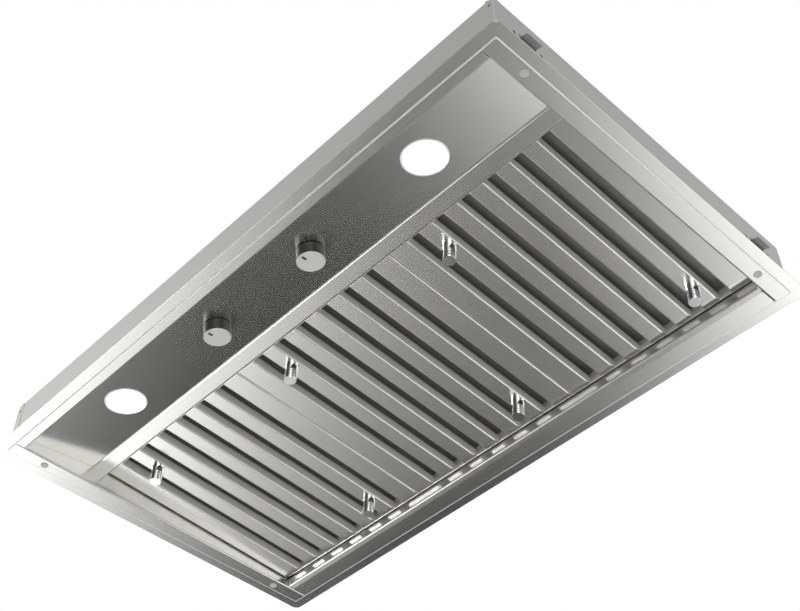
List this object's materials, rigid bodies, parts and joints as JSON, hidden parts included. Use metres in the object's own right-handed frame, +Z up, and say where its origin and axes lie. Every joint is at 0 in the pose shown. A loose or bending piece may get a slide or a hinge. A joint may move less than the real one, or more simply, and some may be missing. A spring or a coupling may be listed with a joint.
{
  "type": "range hood insert",
  "caption": "Built-in range hood insert: flanged steel box with a recessed control panel, baffle filters over a grease tray, and a centrifugal blower under a duct collar with a damper.",
  "frame": {"origin": "middle of the flange's upper face, where the insert meets the underside of the cabinet", "axes": "+X along the long side, to the right as seen by the cook who looks at the front wall; +Y from the front wall, where the controls are, to the back wall; +Z up to the duct"},
  "size_m": [1.051, 0.612, 0.3729],
  "materials": {
    "stainless": "brushed stainless sheet",
    "galvanised": "galvanised sheet",
    "filter_steel": "satin stainless sheet",
    "spring_steel": "bright spring strip",
    "fastener_steel": "turned steel",
    "knob_metal": "turned and satin polished",
    "pull_metal": "polished",
    "plug_nylon": "moulded",
    "switch_plastic": "moulded",
    "lamp_lens": "frosted",
    "lamp_metal": "plain",
    "motor_paint": "black enamel",
    "driver_case": "moulded"
  },
  "bodies": {
    "hood": {"flange": "stainless", "front_wall": "stainless", "back_wall": "stainless", "left_wall": "stainless", "right_wall": "stainless", "top_plate": "galvanised", "rim_left": "stainless", "rim_right": "stainless", "rim_front": "stainless", "control_panel": "stainless", "crossbar": "stainless", "rear_rail": "galvanised", "rim_plugs": "plug_nylon", "corner_rivets": "fastener_steel", "side_clips": "stainless", "tray_clips": "spring_steel", "catch_springs": "spring_steel", "lamp_bezels": "stainless", "lamp_lenses": "lamp_lens", "lamp_cans": "lamp_metal", "fan_switch": "switch_plastic", "light_dimmer": "switch_plastic", "blower_box": "galvanised", "scroll_wrap": "galvanised", "scroll_plate_front": "galvanised", "scroll_plate_back": "galvanised", "motor": "motor_paint", "motor_bracket": "galvanised", "duct_collar": "galvanised", "damper_rod": "fastener_steel", "junction_box": "galvanised", "junction_cover": "galvanised", "lamp_driver": "driver_case", "run_capacitor": "lamp_metal"},
    "grease_tray_body": {"grease_tray": "stainless"},
    "fan_control": {"fan_knob": "knob_metal", "fan_knob_shaft": "fastener_steel"},
    "light_control": {"light_knob": "knob_metal", "light_knob_shaft": "fastener_steel"},
    "blower_rotor": {"blower_wheel": "galvanised", "motor_shaft": "fastener_steel"},
    "left_flap": {"damper_flap_left": "galvanised"},
    "right_flap": {"damper_flap_right": "galvanised"},
    "filter_left": {"filter_left_frame": "filter_steel", "filter_left_lower_baffles": "filter_steel", "filter_left_upper_baffles": "filter_steel", "filter_left_pulls": "pull_metal"},
    "filter_middle": {"filter_middle_frame": "filter_steel", "filter_middle_lower_baffles": "filter_steel", "filter_middle_upper_baffles": "filter_steel", "filter_middle_pulls": "pull_metal"},
    "filter_right": {"filter_right_frame": "filter_steel", "filter_right_lower_baffles": "filter_steel", "filter_right_upper_baffles": "filter_steel", "filter_right_pulls": "pull_metal"}
  },
  "joints": [
    {"name": "fan_knob_turn", "type": "hinge", "parent": "hood", "child": "fan_control", "pos_m": [-0.0988, -0.2125, 0.02149], "axis": [0, -0.1177, 0.9931], "range_deg": [0, 270]},
    {"name": "light_knob_turn", "type": "hinge", "parent": "hood", "child": "light_control", "pos_m": [0.0988, -0.2125, 0.02149], "axis": [0, -0.1177, 0.9931], "range_deg": [0, 270]},
    {"name": "filter_left_tilt", "type": "hinge", "parent": "hood", "child": "filter_left", "pos_m": [-0.32167, 0.2535, 0.01603], "axis": [1, 0, 0], "range_deg": [0, 35]},
    {"name": "filter_middle_tilt", "type": "hinge", "parent": "hood", "child": "filter_middle", "pos_m": [0, 0.2535, 0.01603], "axis": [1, 0, 0], "range_deg": [0, 35]},
    {"name": "filter_right_tilt", "type": "hinge", "parent": "hood", "child": "filter_right", "pos_m": [0.32167, 0.2535, 0.01603], "axis": [1, 0, 0], "range_deg": [0, 35]},
    {"name": "grease_tray_drop", "type": "slide", "parent": "hood", "child": "grease_tray_body", "axis": [0, 0, -1], "range_m": [0, 0.04]},
    {"name": "blower_spin", "type": "hinge", "parent": "hood", "child": "blower_rotor", "pos_m": [-0.092, 0.02, 0.19598], "axis": [0, 1, 0], "continuous": true},
    {"name": "left_flap_swing", "type": "hinge", "parent": "hood", "child": "left_flap", "pos_m": [0, 0.02, 0.32318], "axis": [0, 1, 0], "range_deg": [0, 80]},
    {"name": "right_flap_swing", "type": "hinge", "parent": "hood", "child": "right_flap", "pos_m": [0, 0.02, 0.32318], "axis": [0, -1, 0], "range_deg": [0, 80]}
  ]
}
